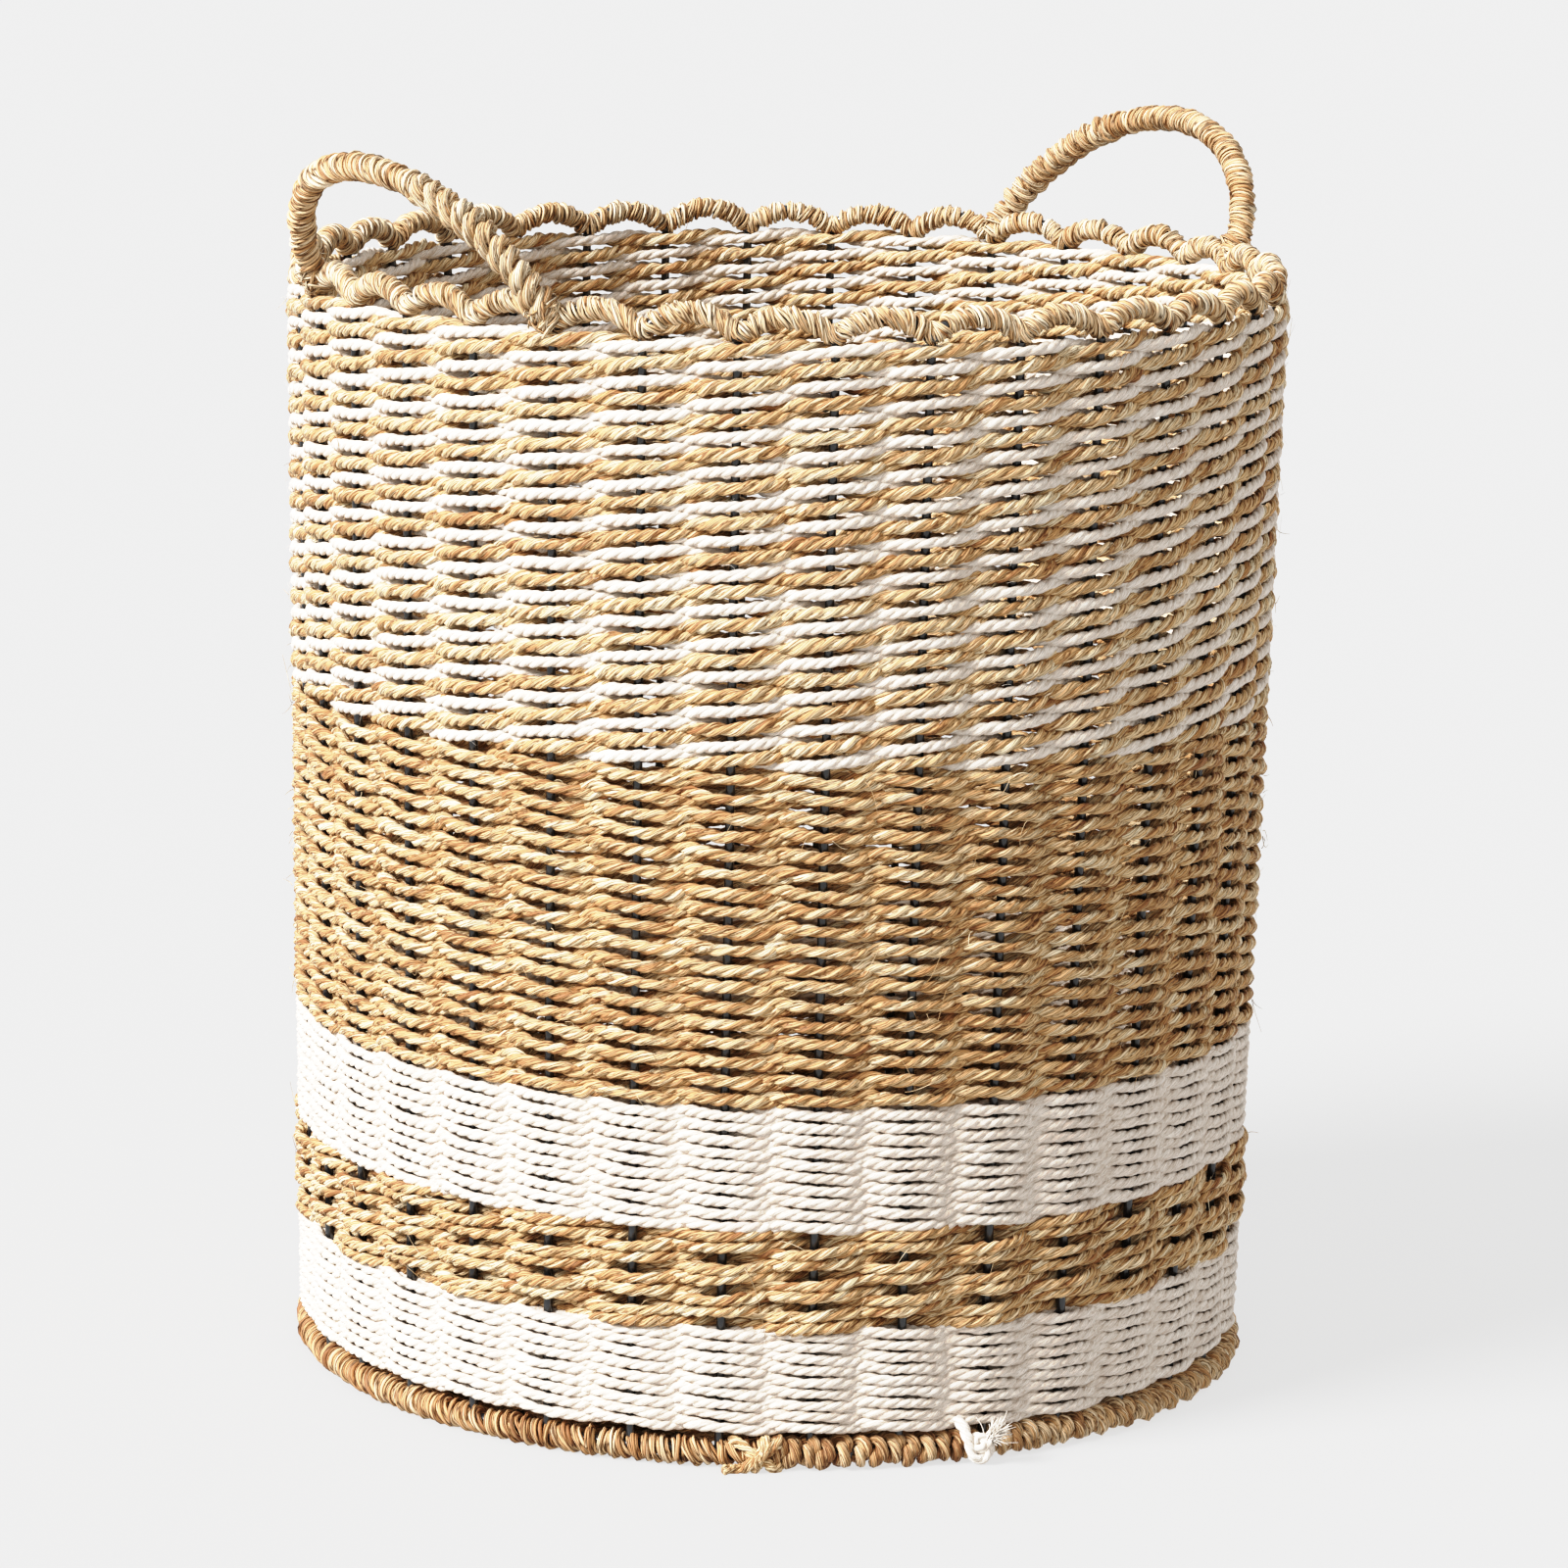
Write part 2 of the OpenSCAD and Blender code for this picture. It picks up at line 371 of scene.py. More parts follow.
def straw(mesh, line, outward, thick, grain, along, tone, sides=3, wide=(1.0, 1.0)):
    """One thin fibre. thick is its radius at each point of its line, and wide stretches it along its two cross axes;
    grain is the radius its material sees, and along where the line is in the pattern of fibres."""
    n = len(line)
    out, up = cross_section_axes(line, outward, False)
    around = TAU * np.arange(sides) / sides
    x, y = wide[0] * np.cos(around), wide[1] * np.sin(around)
    section = x[None, :, None] * out[:, None] + y[None, :, None] * up[:, None]
    rings = line[:, None] + np.broadcast_to(thick, (n,))[:, None, None] * section
    circle = np.broadcast_to(np.stack([np.cos(around), np.sin(around)], -1) * grain, (n, sides, 2))
    mesh.tube(rings, along, circle, np.full(n, tone), False)


STRAY_PALE = 0.9  # tone of the palest loose ends
STRAY_TAPER = 0.6
HAIR_POINTS = 6


def strays(mesh, rng, count, node, length, thickness):
    """Loose ends of fibre that stand off a band of the wall."""
    low, high = band_edges(node)
    t = np.linspace(0, 1, HAIR_POINTS)
    for _ in range(count):
        angle, z = rng.uniform(0, TAU), rng.uniform(low, high)
        size = rng.uniform(0.5, 1.3) * length
        way = rng.choice([-1.0, 1.0])
        root = wall_radius(z) + STAKE_R + rng.uniform(3.3, 4.4) * MM
        radial = root + size * (0.12 * t + rng.uniform(-0.05, 0.35) * t**2)
        swing = t * rng.uniform(0.3, 0.95) + rng.uniform(-0.2, 0.2) * t**3
        turn = angle + way * size * swing / wall_radius(z)
        height = z + size * (t * rng.normal(0, 0.35) + t**2 * rng.normal(0, 0.45))
        line = polar(radial, turn, height)
        thick = thickness * rng.uniform(0.6, 1.3) * (1 - STRAY_TAPER * t)
        straw(mesh, line, line * LEVEL, thick, thickness, t * size + pattern_start(rng),
              STRAY_PALE + rng.uniform(-0.35, 0.1))


# ---------------------------------------------------------------- wrapped wires

STRIP_SIDES = 5
STRIP_STEP = 1.7 * MM  # about the distance between two cross-sections of a strip


class Wrap:
    """How flat strips are wound round a wire: radius of the winding, length per turn, half the width and half the
    thickness of a turn, and the strips in it; bulge, how round a turn is across; slant, how far it leans, and wild,
    how much that varies; tone, how pale it is, and spread, how much that varies; and the floor it can't go under."""

    def __init__(self, core_r, pitch, half_width, half_thick, strips=3, bulge=1.3, slant=0.35, wild=0.25, tone=0.66,
                 spread=0.26, floor=None):
        self.core_r, self.pitch, self.half_width, self.half_thick = core_r, pitch, half_width, half_thick
        self.strips, self.bulge, self.slant, self.wild = strips, bulge, slant, wild
        self.tone, self.spread, self.floor = tone, spread, floor


def per_turn(rng, turn_at, low, high, each=1):
    """A smooth random value that changes with every turn, or each times in a turn."""
    whole = (int(turn_at[-1]) + 2) * each
    return np.interp(turn_at * each, np.arange(whole), rng.uniform(low, high, whole))


def coil(mesh, path, first, last, wrap, rng, closed=False):
    """Flat strips wound round a bent wire, from one length along it to another. path is a Wire."""
    length = last - first
    turns = length / wrap.pitch
    turns = round(turns) if closed else turns
    count = int(turns * max(10, int(TAU * wrap.core_r / STRIP_STEP)))
    turn_at = turns * np.arange(count) / (count if closed else count - 1)
    phi = TAU * turn_at
    step = length / turns
    seam = np.clip((turns - turn_at) / 1.5, 0, 1) if closed else 1.0
    lean = wrap.slant + wrap.wild * per_turn(rng, turn_at, -1.7, 1.7)
    thick = wrap.half_thick * per_turn(rng, turn_at, 0.75, 1.3)
    half_w = wrap.half_width * per_turn(rng, turn_at, 0.8, 1.25)
    lift = wrap.half_thick * per_turn(rng, turn_at, -0.25, 0.45, 2) * seam
    shade = per_turn(rng, turn_at, -1, 1)
    s = first + turn_at * step + seam * (lean * step * np.sin(phi) + 0.25 * step * per_turn(rng, turn_at, -1, 1))
    s = s % path.length if closed else np.clip(s, 0, path.length)
    centre, a, b = path(s)
    outward = a * np.cos(phi)[:, None] + b * np.sin(phi)[:, None]
    line = centre + outward * (wrap.core_r + lift)[:, None]
    tangent = tangents(line, closed)
    out = unit(outward - (outward * tangent).sum(-1, keepdims=True) * tangent)
    side = np.cross(tangent, out)
    around = TAU * np.arange(STRIP_SIDES) / STRIP_SIDES
    along = np.concatenate([[0], np.cumsum(np.linalg.norm(np.diff(line, axis=0), axis=-1))])
    for strip in range(wrap.strips):
        place = (strip - (wrap.strips - 1) / 2) * 2 / wrap.strips
        own = per_turn(rng, turn_at, -0.38, 0.38, 3)
        rise = per_turn(rng, turn_at, -0.35, 0.35, 3)
        offset = (place + own * 0.6) * half_w
        height = (rise - wrap.bulge * place**2) * thick
        strip_w = half_w / wrap.strips * 1.2
        y = offset[:, None] + strip_w[:, None] * np.cos(around)
        x = height[:, None] + thick[:, None] * np.sin(around) * 0.85
        rings = line[:, None] + x[..., None] * out[:, None] + y[..., None] * side[:, None]
        if wrap.floor is not None:
            rings[..., 2] = np.maximum(rings[..., 2], wrap.floor)
        circle = np.stack([np.cos(around), np.sin(around)], -1)[None] * (strip_w[:, None, None] * 0.7)
        tint = wrap.tone + wrap.spread * (0.7 * shade + rng.uniform(-0.5, 0.5) + own)
        mesh.tube(rings, along + pattern_start(rng), circle, tint, closed)


def rope_coil(mesh, path, first, last, core_r, pitch, yarn, rng, floor=None, slant=0.5, size=1.0, tone=0.6):
    """A whole twisted rope wound round a wire, from one length along it to another."""
    turns = (last - first) / pitch
    count = int(turns * max(14, TAU * core_r / yarn.spacing))
    turn_at = np.linspace(0, turns, count)
    phi = TAU * turn_at
    s = first + turn_at * pitch + slant * pitch * np.sin(phi) * 0.5 + 0.12 * pitch * per_turn(rng, turn_at, -1, 1)
    centre, a, b = path(s % path.length)
    outward = a * np.cos(phi)[:, None] + b * np.sin(phi)[:, None]
    line = centre + outward * (core_r + 0.3 * MM * per_turn(rng, turn_at, -1, 1))[:, None]
    if floor is not None:
        line[:, 2] = np.maximum(line[:, 2], floor + yarn.radius * size)
    out, up = cross_section_axes(line, outward, False)
    twist_rope(mesh, line, out, up, yarn, rng, False, size=size, tone=tone)


class Wire:
    """A line through space with cross axes, read by length along it."""

    def __init__(self, points, outward, closed, level=0.0):
        """level, 0 to 1, turns the cross axes towards those of a line without ups and downs."""
        if closed:
            points = np.vstack([points, points[:1]])
            outward = np.vstack([outward, outward[:1]])
        d = np.linalg.norm(np.diff(points, axis=0), axis=-1)
        self.at = np.concatenate([[0], np.cumsum(d)])
        self.length = self.at[-1]
        t = tangents(points, False)
        if closed:
            t[0] = t[-1] = unit(points[1] - points[-2])
        t = unit(t * np.array([1, 1, 1 - level]))
        a = unit(outward - (outward * t).sum(-1, keepdims=True) * t)
        self.table = np.hstack([points, a, np.cross(t, a)])

    def __call__(self, s):
        row = np.stack([np.interp(s, self.at, self.table[:, k]) for k in range(9)], -1)
        return row[:, :3], unit(row[:, 3:6]), unit(row[:, 6:])


def rim_line():
    """The scalloped rim wire, its notches eased as the wrap eases them, and its scallops not quite equal."""
    per_arch, ease, sink = 40, 5, 0.6 * MM
    half = RIM_R * math.sin(GAP / 2)
    arch_r = (half**2 + ARCH_RISE**2) / (2 * ARCH_RISE)
    share = np.arange(per_arch) / per_arch
    x = (share * 2 - 1) * half
    rise = np.sqrt(arch_r**2 - x**2) - (arch_r - ARCH_RISE)
    swell = seeded("rim_line").uniform(0.95, 1.14, STAKES)
    z = (rise[None] * swell[:, None]).ravel()
    wrapped = np.concatenate([z[-ease:], z, z[:ease]])
    z = np.convolve(wrapped, np.ones(ease) / ease, "same")[ease:-ease] - sink
    angle = (np.arange(STAKES)[:, None] * GAP + GAP * share[None]).ravel()
    middle = RIM_R * math.cos(GAP / 2)
    radius = np.tile(middle + (RIM_R - middle) * (share * 2 - 1) ** 2, STAKES)
    return Wire(polar(radius, angle, RIM_Z + z), away(angle), True, level=0.45)


def ring_line(radius, z):
    points = 720
    angle = TAU * np.arange(points) / points
    return Wire(polar(radius, angle, z), away(angle), True)


def handle_line(side):
    """The leaning arc of a handle; side is its angle round the basket. It starts at the foot of its fat end."""
    half_angle = HANDLE_GAPS * GAP / 2
    half = RIM_R * math.sin(half_angle)
    bend = (half**2 + HANDLE_RISE**2) / (2 * HANDLE_RISE)
    reach = math.acos((bend - HANDLE_RISE) / bend)
    turn = np.linspace(reach, -reach, 240)
    u = bend * np.sin(turn)
    v = bend * np.cos(turn) - (bend - HANDLE_RISE)
    r = RIM_R * math.cos(half_angle) + v * math.sin(HANDLE_LEAN)
    z = RIM_Z + v * math.cos(HANDLE_LEAN)
    local = np.stack([r, u, z], -1)
    outward = np.tile([math.cos(HANDLE_LEAN), 0, -math.sin(HANDLE_LEAN)], (len(u), 1))
    spin = np.array(Matrix.Rotation(side, 3, "Z"))
    return Wire(local @ spin.T, outward @ spin.T, False)


# ---------------------------------------------------------------- materials


def new_material(name):
    mat = bpy.data.materials.new(name)
    mat.use_nodes = True
    nodes = mat.node_tree.nodes
    return mat, nodes, mat.node_tree.links, nodes["Principled BSDF"]


def fibre_space(nodes, links, stretch, scale):
    """A coordinate drawn out along the fibres, in which one fibre is about one unit wide."""
    read = nodes.new("ShaderNodeAttribute")
    read.attribute_name = "fibre"
    size = nodes.new("ShaderNodeVectorMath")
    size.operation = "MULTIPLY"
    size.inputs[1].default_value = (scale / stretch, scale, scale)
    links.new(read.outputs["Vector"], size.inputs[0])
    return size.outputs[0]


def noise_of(nodes, links, where, scale, roughness=0.5):
    noise = nodes.new("ShaderNodeTexNoise")
    noise.inputs["Scale"].default_value = scale
    noise.inputs["Detail"].default_value = 2
    noise.inputs["Roughness"].default_value = roughness
    links.new(where, noise.inputs["Vector"])
    return noise.outputs["Fac"]


def cells_of(nodes, links, where, feature, output):
    cells = nodes.new("ShaderNodeTexVoronoi")
    cells.feature = feature
    cells.inputs["Scale"].default_value = 1.0
    links.new(where, cells.inputs["Vector"])
    return cells.outputs[output]


def evenly(*colours):
    """Stops for a colour ramp, evenly spaced from 0 to 1."""
    return [(k / (len(colours) - 1), colour) for k, colour in enumerate(colours)]


def ramp(nodes, links, source, stops):
    node = nodes.new("ShaderNodeValToRGB")
    node.color_ramp.elements[0].position = stops[0][0]
    node.color_ramp.elements[0].color = (*stops[0][1], 1)
    node.color_ramp.elements[1].position = stops[-1][0]
    node.color_ramp.elements[1].color = (*stops[-1][1], 1)
    for position, colour in stops[1:-1]:
        node.color_ramp.elements.new(position).color = (*colour, 1)
    links.new(source, node.inputs["Fac"])
    return node.outputs["Color"]


def math_node(nodes, links, operation, *values):
    node = nodes.new("ShaderNodeMath")
    node.operation = operation
    for socket, value in zip(node.inputs, values):
        if isinstance(value, (int, float)):
            socket.default_value = value
        else:
            links.new(value, socket)
    return node.outputs[0]


def multiply(nodes, links, colour, other, share):
    node = nodes.new("ShaderNodeMix")
    node.data_type = "RGBA"
    node.blend_type = "MULTIPLY"
    node.inputs["Factor"].default_value = share
    links.new(colour, node.inputs["A"])
    links.new(other, node.inputs["B"])
    return node.outputs["Result"]


def bump(nodes, links, shader, height, strength, depth):
    relief = nodes.new("ShaderNodeBump")
    relief.inputs["Strength"].default_value = strength
    relief.inputs["Distance"].default_value = depth
    links.new(height, relief.inputs["Height"])
    links.new(relief.outputs["Normal"], shader.inputs["Normal"])


def fibre_material(name, tints, width, stretch, contrast, painted_crevice_shade, roughness, relief, sheen):
    """A rope's material. Each fibre is a long cell with its own tone, parted from the next by a dark line of painted
    shade in the groove between them; the tint of the ply shifts them all. width is a fibre's, and stretch its length
    in widths."""
    mat, nodes, links, shader = new_material(name)
    read = nodes.new("ShaderNodeAttribute")
    read.attribute_name = "tint"
    where = fibre_space(nodes, links, stretch, 1 / width)
    own = nodes.new("ShaderNodeSeparateColor")
    links.new(cells_of(nodes, links, where, "F1", "Color"), own.inputs[0])
    edge = cells_of(nodes, links, where, "DISTANCE_TO_EDGE", "Distance")
    fine = noise_of(nodes, links, where, 2.6, roughness=0.6)
    shade = math_node(nodes, links, "MULTIPLY_ADD", own.outputs[0], contrast, -contrast / 2)
    place = math_node(nodes, links, "ADD", read.outputs["Fac"], shade)
    mottle = math_node(nodes, links, "MULTIPLY_ADD", fine, contrast, -contrast / 2)
    place = math_node(nodes, links, "ADD", place, mottle)
    colour = ramp(nodes, links, place, tints)
    # painted shade: the colour is darkened along each fibre's edge, in the groove between two fibres
    line = ramp(nodes, links, edge, [(0.0, painted_crevice_shade), (0.10, (0.9, 0.88, 0.85)), (0.22, (1, 1, 1))])
    links.new(multiply(nodes, links, colour, line, 1.0), shader.inputs["Base Color"])
    rough = math_node(nodes, links, "MULTIPLY_ADD", fine, 0.25, roughness - 0.12)
    links.new(rough, shader.inputs["Roughness"])
    height = math_node(nodes, links, "ADD", math_node(nodes, links, "MINIMUM", edge, 0.22),
                       math_node(nodes, links, "MULTIPLY", fine, 0.18))
    bump(nodes, links, shader, height, relief, 1.2 * MM)
    shader.inputs["Sheen Weight"].default_value = sheen
    shader.inputs["Sheen Roughness"].default_value = 0.6
    shader.inputs["Specular IOR Level"].default_value = 0.3
    return mat


def seagrass_material():
    tints = evenly((0.34, 0.16, 0.07), (0.55, 0.32, 0.15), (0.71, 0.49, 0.27), (0.80, 0.63, 0.41), (0.88, 0.78, 0.58))
    # the crevice colour is painted shade in the grooves between the fibres
    return fibre_material("seagrass_fibre", tints, width=1.05 * MM, stretch=16, contrast=0.55,
                          painted_crevice_shade=(0.22, 0.14, 0.08), roughness=0.55, relief=0.75, sheen=0.05)


def strip_material():
    """The flat, papery strips of the wraps: greyer than the ropes, with dark lines of painted shade in the grooves
    between them.
    """
    tints = evenly((0.31, 0.15, 0.07), (0.54, 0.31, 0.15), (0.72, 0.49, 0.28), (0.82, 0.64, 0.43), (0.90, 0.79, 0.61))
    return fibre_material("seagrass_strip", tints, width=0.8 * MM, stretch=18, contrast=0.6,
                          painted_crevice_shade=(0.10, 0.06, 0.035), roughness=0.6, relief=0.95, sheen=0.05)


def cotton_material():
    tints = evenly((0.70, 0.60, 0.51), (0.84, 0.77, 0.69), (0.90, 0.86, 0.80))
    # the crevice colour is painted shade in the grooves between the fibres
    return fibre_material("cotton_fibre", tints, width=0.6 * MM, stretch=9, contrast=0.45,
                          painted_crevice_shade=(0.66, 0.58, 0.52), roughness=0.9, relief=0.45, sheen=0.3)


def coated_wire_material():
    """Satin black powder coat with a fine orange-peel grain and slightly worn shine."""
    mat, nodes, links, shader = new_material("black_powder_coat")
    where = nodes.new("ShaderNodeTexCoord").outputs["Object"]
    grain = noise_of(nodes, links, where, 900)
    wear = noise_of(nodes, links, where, 60)
    colour = ramp(nodes, links, wear, [(0.3, (0.010, 0.011, 0.013)), (0.7, (0.030, 0.033, 0.037))])
    links.new(colour, shader.inputs["Base Color"])
    links.new(math_node(nodes, links, "MULTIPLY_ADD", wear, 0.2, 0.14), shader.inputs["Roughness"])
    shader.inputs["Specular IOR Level"].default_value = 0.9
    shader.inputs["Coat Weight"].default_value = 0.6
    shader.inputs["Coat Roughness"].default_value = 0.1
    bump(nodes, links, shader, grain, 0.12, 0.1 * MM)
    return mat


# ---------------------------------------------------------------- the basket


seagrass = seagrass_material()
strips = strip_material()
cotton = cotton_material()
black_coat = coated_wire_material()

for node_name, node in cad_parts.items():
    if node_name.startswith("stake_") or node_name.endswith(("_wire", "_hoop", "_ring", "_spokes")):
        node.data.materials.clear()
        node.data.materials.append(black_coat)


def weave_wall():
    mixed_cotton = Piece("mixed_weave_cotton", ["mixed_weave"], cotton)
    mixed_grass = Piece("mixed_weave_seagrass", ["mixed_weave"], seagrass)
    grass = Piece("seagrass_weave_rope", ["seagrass_weave"], seagrass)
    upper = Piece("upper_cotton_rope", ["upper_cotton_weave"], cotton)
    thick = Piece("thick_seagrass_rope", ["thick_seagrass_weave"], seagrass)
    lower = Piece("lower_cotton_rope", ["lower_cotton_weave"], cotton)

    level_rows = dict(level=0.9, at_stake=0.80, at_cross=0.97, reach=0.66)
    twined_band("mixed_weave", 25, [(COTTON, mixed_cotton), (SEAGRASS, mixed_grass)], rise=1.55 * MM,
                sizes=(1.06, 1.2), uneven=0.25 * MM, shift=3.2 * MM, level=0.45, at_stake=0.90, at_cross=1.0,
                tone=0.58)
    twined_band("seagrass_weave", 18, [(SEAGRASS, grass)] * 2, rise=-1.5 * MM, sizes=(1.15, 1.15),
                uneven=0.45 * MM, level=0.6, at_stake=0.82, at_cross=0.98)
    twined_band("upper_cotton_weave", 10, [(COTTON, upper)] * 2, rise=-1.2 * MM, sizes=(1.08, 1.08), **level_rows)
    bundled_band("thick_seagrass_weave", 6, 2, thick)
    twined_band("lower_cotton_weave", 9, [(COTTON, lower)] * 2, rise=-1.2 * MM, sizes=(1.04, 1.04), **level_rows)

    rng = seeded("strays")
    for piece, node, count, length, thickness in (
        (mixed_grass, "mixed_weave", 150, 9 * MM, 0.16 * MM),
        (grass, "seagrass_weave", 420, 10 * MM, 0.18 * MM),
        (thick, "thick_seagrass_weave", 160, 11 * MM, 0.20 * MM),
        (mixed_cotton, "mixed_weave", 420, 5 * MM, 0.08 * MM),
    ):
        strays(piece.mesh(), rng, count, node, length, thickness)

    for piece in (mixed_cotton, mixed_grass, grass, upper, thick, lower):
        for obj in piece.make():
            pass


def wrap_rim():
    mesh = Mesh("rim_wrap_strips", ["rim_wrap"], strips)
    path = rim_line()
    wrap = Wrap(3.7 * MM, 3.7 * MM, 1.9 * MM, 1.2 * MM, wild=0.34)
    coil(mesh, path, 0, path.length, wrap, seeded("rim_wrap"), closed=True)
    mesh.make()


def wrap_handles():
    """Fine turns over most of the arc, and a thick twisted rope down the leg on its anticlockwise side."""
    fine = Wrap(4.5 * MM, 3.2 * MM, 1.6 * MM, 1.25 * MM, slant=0.5, tone=0.60)
    under = Wrap(3.4 * MM, 3.4 * MM, 1.8 * MM, 0.9 * MM, strips=2, tone=0.4)
    bunched = Wrap(5.6 * MM, 2.9 * MM, 1.6 * MM, 1.2 * MM, slant=0.7, wild=0.5, tone=0.60)
    for name, side in (("left", math.pi), ("right", 0.0)):
        mesh = Mesh(f"{name}_handle_strips", [f"{name}_handle_wrap"], strips)
        rng = seeded(f"{name}_handle_wrap")
        path = handle_line(side)
        leg = 0.36 * path.length
        coil(mesh, path, 0, leg, under, rng)
        rope_coil(mesh, path, 2 * MM, leg, 3.7 * MM, 6.3 * MM, BUNDLE, rng, slant=0.9, tone=0.62)
        coil(mesh, path, leg - 3 * MM, path.length, fine, rng)
        coil(mesh, path, 0, 9 * MM, bunched, rng)
        coil(mesh, path, path.length - 12 * MM, path.length, bunched, rng)
        loose_wraps(mesh, path, rng)
        mesh.make()


def loose_wraps(mesh, path, rng):
    """Straws that cross one another where a handle is tied to the rim."""
    straws = points = 16
    for foot in (4 * MM, path.length - 5 * MM):
        centre, a, b = (v[0] for v in path(np.array([foot])))
        tangent = np.cross(a, b)
        for _ in range(straws):
            axis = unit(tangent + rng.normal(0, 0.75, 3))
            first = unit(np.cross(axis, a + 0.2 * b))
            second = np.cross(axis, first)
            turn = rng.uniform(0, TAU) + np.linspace(0, rng.uniform(1.6, 4.2), points)
            loop = (rng.uniform(6.4, 7.4) + np.linspace(0, 1, points) ** 6 * rng.uniform(0, 3.0)) * MM
            line = (centre + tangent * rng.normal(0, 2.5) * MM
                    + loop[:, None] * (np.cos(turn)[:, None] * first + np.sin(turn)[:, None] * second))
            thick = rng.uniform(0.25, 0.5) * MM
            along = np.linspace(0, 30 * MM, points) + pattern_start(rng)
            straw(mesh, line, line - centre, thick, thick, along, rng.uniform(0.5, 0.95), sides=4, wide=(0.6, 1.5))


# Degrees round the foot: the rope's winding starts at the first, closes up at the second and ends at the third.
ROPE_PART = (-133, -107, -45)
SEAGRASS_KNOT_AT, COTTON_KNOT_AT = ROPE_PART[:2]


def wrap_foot():
    """Flat turns round most of the hoop; on one part of it, where both knots are, a whole rope wound openly."""
    mesh = Mesh("foot_wrap_strips", ["foot_wrap"], strips)
    rng = seeded("foot_wrap")
    path = ring_line(FOOT_R, HOOP_Z)
    first, middle, last = ((math.radians(v) % TAU) * FOOT_R for v in ROPE_PART)
    flat = Wrap(4.7 * MM, 4.5 * MM, 2.1 * MM, 1.5 * MM, bulge=1.7, slant=0.2, wild=0.28, tone=0.42, floor=0.0)
    coil(mesh, path, 0, first, flat, rng)
    coil(mesh, path, last, path.length, flat, rng)
    core_r = 3.9 * MM
    rope_coil(mesh, path, first, middle, core_r, 6.6 * MM, THICK_TWIST, rng, floor=0.0, slant=-0.7, size=1.18,
              tone=0.42)
    rope_coil(mesh, path, middle, last, core_r, 5.9 * MM, THICK_TWIST, rng, floor=0.0, slant=-0.6, size=1.1,
              tone=0.38)
    mesh.make()


def foot_place(angle, offsets):
    """Points beside the foot hoop, given as (out, along, up) from its centre at an angle."""
    return polar(FOOT_R + offsets[:, 0], angle + offsets[:, 1] / FOOT_R, HOOP_Z + offsets[:, 2])


def smooth_line(points, count):
    """A smooth line through a few points."""
    at = np.linspace(0, len(points) - 1, count)
    k = np.clip(at.astype(int), 0, len(points) - 2)
    t = (at - k)[:, None]
    padded = np.vstack([2 * points[0] - points[1], points, 2 * points[-1] - points[-2]])
    p0, p1, p2, p3 = padded[k], padded[k + 1], padded[k + 2], padded[k + 3]
    bends = (2 * p0 - 5 * p1 + 4 * p2 - p3) * t**2 + (3 * p1 - p0 - 3 * p2 + p3) * t**3
    return 0.5 * (2 * p1 + (p2 - p0) * t + bends)


def knot_rope(mesh, angle, way, count, yarn, rng, low, **lie):
    """A rope on its way through a knot at the foot: way is points in mm for foot_place, low its least height."""
    line = smooth_line(foot_place(angle, np.array(way) * MM), count)
    line[:, 2] = np.maximum(line[:, 2], low)
    out, up = cross_section_axes(line, line * LEVEL, False)
    twist_rope(mesh, line, out, up, yarn, rng, False, **lie)


def tie_cotton_knot():
    """An overhand knot in the end of the cotton rope, with its end frayed into a tassel."""
    mesh = Mesh("cotton_knot_rope", ["cotton_knot"], cotton)
    rng = seeded("cotton_knot")
    angle = math.radians(COTTON_KNOT_AT)
    loop = [(2.5, -9, 12), (6.5, -7.5, 9), (8.8, -6, 4), (9.2, -4.5, -1.5), (9.8, -1.5, -3.2), (11.0, 1.0, -0.5),
            (10.8, 0.5, 3.5), (9.2, -2.5, 5.5), (8.6, -4.5, 2.5), (10.8, -1.5, 1.5), (11.2, 1.5, 4.5)]
    knot_rope(mesh, angle, loop, 60, COTTON, rng, 0.0, size=0.98, tone=0.8)
    hairs, taper = 130, 0.5
    root, lean = np.array((11.0, 1.5, 4.5)) * MM, np.array((0.35, 0.65, 0.75))
    share = np.linspace(0, 1, HAIR_POINTS)
    t = share[:, None]
    for _ in range(hairs):
        aim = lean + rng.normal(0, 0.34, 3)
        size = rng.uniform(5, 10) * MM
        bend = rng.normal(0, 0.35, 3)
        hair = foot_place(angle, root + rng.normal(0, 0.9 * MM, 3) + size * (t * unit(aim) + t**2 * bend * 0.5))
        hair[:, 2] = np.maximum(hair[:, 2], 0.5 * MM)
        thick, tone = rng.uniform(0.22, 0.42) * MM, rng.uniform(0.7, 1.0)
        along = 10 * MM * share + pattern_start(rng)
        straw(mesh, hair, hair * LEVEL, (1 - taper * share) * thick, thick, along, tone)
    mesh.make()


def tie_seagrass_knot():
    """The end of the foot's wrapping, crossed over itself and left with a short tail."""
    mesh = Mesh("seagrass_knot_rope", ["seagrass_knot"], seagrass)
    rng = seeded("seagrass_knot")
    crossings = [
        [(1, -11, 5), (4.5, -8, 5.5), (7.5, -2, 2), (7.6, 3, -1.5), (6, 7, -5), (2, 9, -6)],
        [(1, 9, 6), (5, 7, 5.5), (8.4, 2, 2), (8.8, -3, -2), (8.2, -7, -5.0), (9, -10, -6.6), (10.5, -13, -6.8)],
        [(3, 3, 7), (7.4, 2, 4.5), (9.0, 0, 0), (7.4, -1, -4.5), (3, -2, -6.6)],
    ]
    for crossing in crossings:
        knot_rope(mesh, math.radians(SEAGRASS_KNOT_AT), crossing, 34, SEAGRASS, rng, 1.6 * MM, flat_out=0.8,
                  size=0.95, tone=0.6)
    mesh.make()


BASE_INNER = BASE_RING_R + 0.6 * MM
BASE_PITCH = 5.7 * MM
BASE_ROPE = 1.1  # thickness of the base's ropes against their yarn


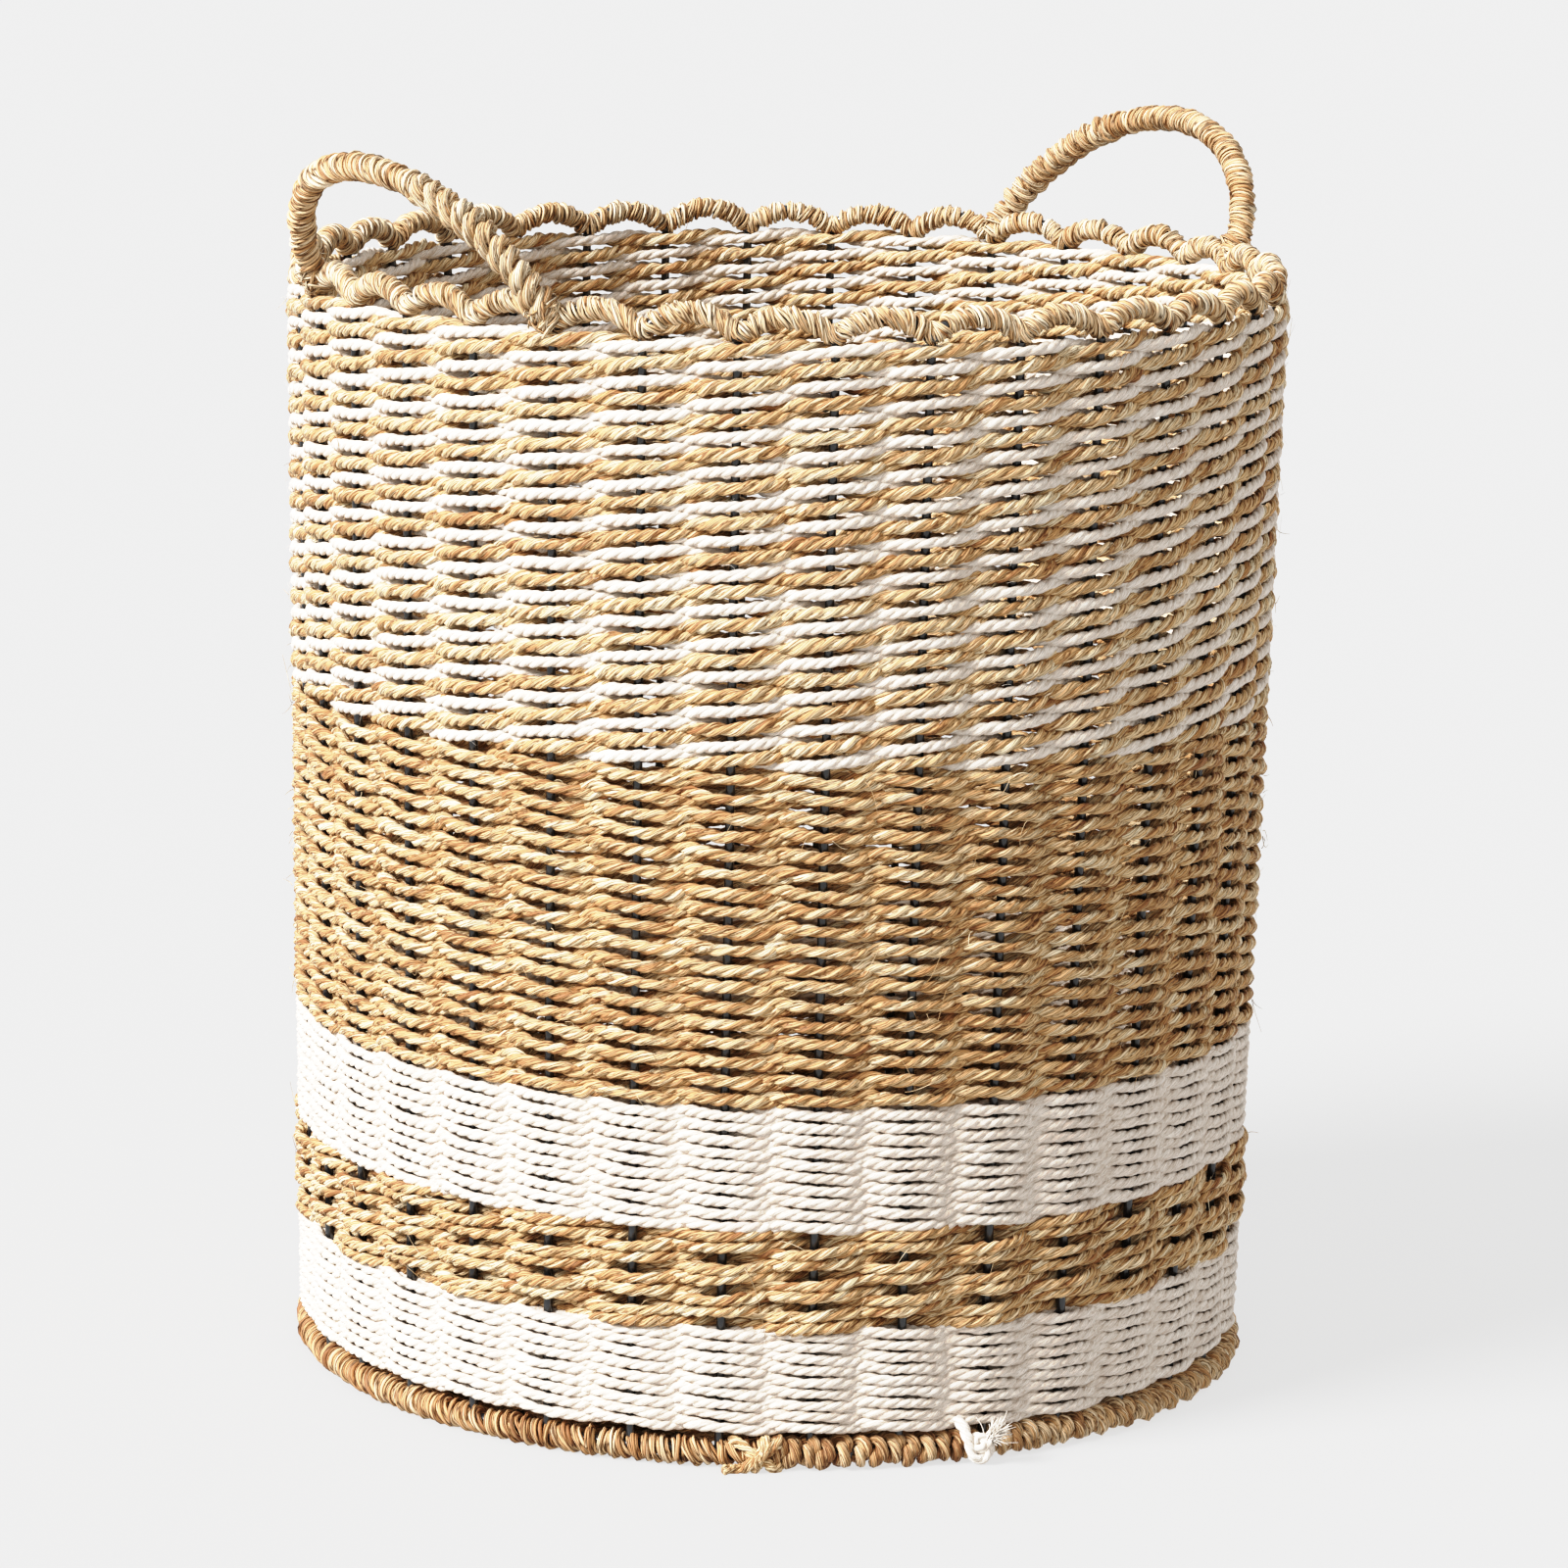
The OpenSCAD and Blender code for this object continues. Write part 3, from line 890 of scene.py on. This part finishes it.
def weave_base():
    """Concentric rows of two ropes twined round the spokes, and a coiled middle."""
    piece = Piece("base_weave_rope", ["base_weave"], seagrass)
    rng = seeded("base_weave")
    rows = int((BASE_OUT - BASE_INNER) / BASE_PITCH)
    pitch = (BASE_OUT - BASE_INNER) / rows
    for row in range(rows):
        radius = BASE_INNER + (row + 0.5) * pitch
        for strand in range(2):
            count = max(96, int(TAU * radius / (2.6 * MM)))
            theta = TAU * np.arange(count) / count
            turn = theta * SPOKES / 2 + math.pi * (strand + row)
            bow = np.cos(turn)
            z = SPOKE_Z + (SPOKE_R + SEAGRASS.radius * 0.9) * bow
            centre = polar(radius + 1.4 * MM * np.sin(turn), theta, z)
            out, up = cross_section_axes(centre, away(theta), True)
            flat_out = 1 - 0.15 * (1 - np.abs(bow))
            twist_rope(piece.mesh(), centre, out, up, SEAGRASS, rng, True, flat_out, size=BASE_ROPE)
    for obj in piece.make():
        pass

    middle = Mesh("base_centre_coil", ["base_centre"], seagrass)
    turns, points = 4, 260
    phi = np.linspace(0.15, 1, points) * TAU * turns
    radius = (BASE_RING_R - 4.2 * MM) * phi / (TAU * turns)
    for layer in (-2.4 * MM, 2.4 * MM):
        centre = polar(radius, phi, SPOKE_Z + layer)
        out, up = cross_section_axes(centre, away(phi), False)
        twist_rope(middle, centre, out, up, SEAGRASS, rng, False, size=BASE_ROPE)
    middle.make()


weave_wall()
wrap_rim()
wrap_handles()
wrap_foot()
tie_cotton_knot()
tie_seagrass_knot()
weave_base()

# ---------------------------------------------------------------- light, floor and camera

# Angles are in degrees and lengths in m.
CAMERA_SIDE = -42.24  # round from -Y, the handles being on X
CAMERA_AWAY = 2.40
CAMERA_ACROSS = -0.0046
CAMERA_HEIGHT = 0.717
CAMERA_PITCH = 11.35
CAMERA_YAW = 0.17
CAMERA_ROLL = -1.2
CAMERA_LENS = 134.6  # mm, on a sensor 36 mm wide
KEY_SIDE = CAMERA_SIDE - 58
KEY_HEIGHT = 38
KEY_SOFTNESS = 24
KEY_STRENGTH = 6.0
WORLD_STRENGTH = 0.78
FLOOR_WHITE = 0.12  # grey enough to show a faint shadow
FLOOR_GLOW = 0.635  # and glowing enough to match the background
WHITE_LEVEL = 1.8  # the light that is shown as white
CURVE = ((0.04, 0.016), (0.09, 0.052), (0.16, 0.125), (0.30, 0.285), (0.50, 0.51), (0.80, 0.83), (1.2, 0.965))


def lay_floor():
    bpy.ops.mesh.primitive_plane_add(size=60, location=(0, 0, 0))
    floor = bpy.context.object
    floor.name = "studio_floor"
    mat, nodes, links, shader = new_material("studio_floor")
    shader.inputs["Base Color"].default_value = (FLOOR_WHITE, FLOOR_WHITE, FLOOR_WHITE, 1)
    shader.inputs["Roughness"].default_value = 0.9
    shader.inputs["Specular IOR Level"].default_value = 0.0
    shader.inputs["Emission Color"].default_value = (1, 1, 1, 1)
    shader.inputs["Emission Strength"].default_value = FLOOR_GLOW
    floor.data.materials.append(mat)


def light_studio():
    world = bpy.data.worlds.new("studio")
    bpy.context.scene.world = world
    world.use_nodes = True
    sky = world.node_tree.nodes["Background"]
    sky.inputs["Color"].default_value = (1.0, 1.0, 1.0, 1)
    sky.inputs["Strength"].default_value = WORLD_STRENGTH
    sun = bpy.data.lights.new("key", "SUN")
    sun.energy = KEY_STRENGTH
    sun.angle = math.radians(KEY_SOFTNESS)
    key = bpy.data.objects.new("key", sun)
    bpy.context.scene.collection.objects.link(key)
    towards = view_direction(KEY_SIDE, KEY_HEIGHT)
    key.rotation_mode = "QUATERNION"
    key.rotation_quaternion = (-towards).to_track_quat("-Z", "Y")


def view_direction(side, height):
    a, e = math.radians(side), math.radians(height)
    return Vector((math.sin(a) * math.cos(e), -math.cos(a) * math.cos(e), math.sin(e)))


def place_camera():
    side = math.radians(CAMERA_SIDE)
    pitch, yaw, roll = (math.radians(v) for v in (CAMERA_PITCH, CAMERA_YAW, CAMERA_ROLL))
    turn = Matrix.Rotation(side, 3, "Z")
    flat = math.cos(pitch)
    forward = turn @ Vector((math.sin(yaw) * flat, math.cos(yaw) * flat, -math.sin(pitch)))
    across = turn @ Vector((math.cos(yaw), -math.sin(yaw), 0))
    under = forward.cross(across)
    right = math.cos(roll) * across + math.sin(roll) * under
    down = math.cos(roll) * under - math.sin(roll) * across
    data = bpy.data.cameras.new("camera")
    data.lens = CAMERA_LENS
    data.sensor_width = 36
    data.clip_start, data.clip_end = 0.01, 200
    camera = bpy.data.objects.new("camera", data)
    bpy.context.scene.collection.objects.link(camera)
    place = turn @ Vector((CAMERA_ACROSS, -CAMERA_AWAY, CAMERA_HEIGHT))
    camera.matrix_world = Matrix((
        (right.x, -down.x, -forward.x, place.x),
        (right.y, -down.y, -forward.y, place.y),
        (right.z, -down.z, -forward.z, place.z),
        (0, 0, 0, 1),
    ))
    bpy.context.scene.camera = camera


def grade():
    """The contrast of a studio photograph: deep crevices, and highlights that roll off softly."""
    look = bpy.context.scene.view_settings
    look.view_transform = "Standard"
    look.use_curve_mapping = True
    mapping = look.curve_mapping
    mapping.white_level = (WHITE_LEVEL,) * 3
    mapping.extend = "HORIZONTAL"
    for light, shown in CURVE:
        mapping.curves[3].points.new(light / WHITE_LEVEL, shown)
    mapping.update()


lay_floor()
light_studio()
place_camera()
grade()
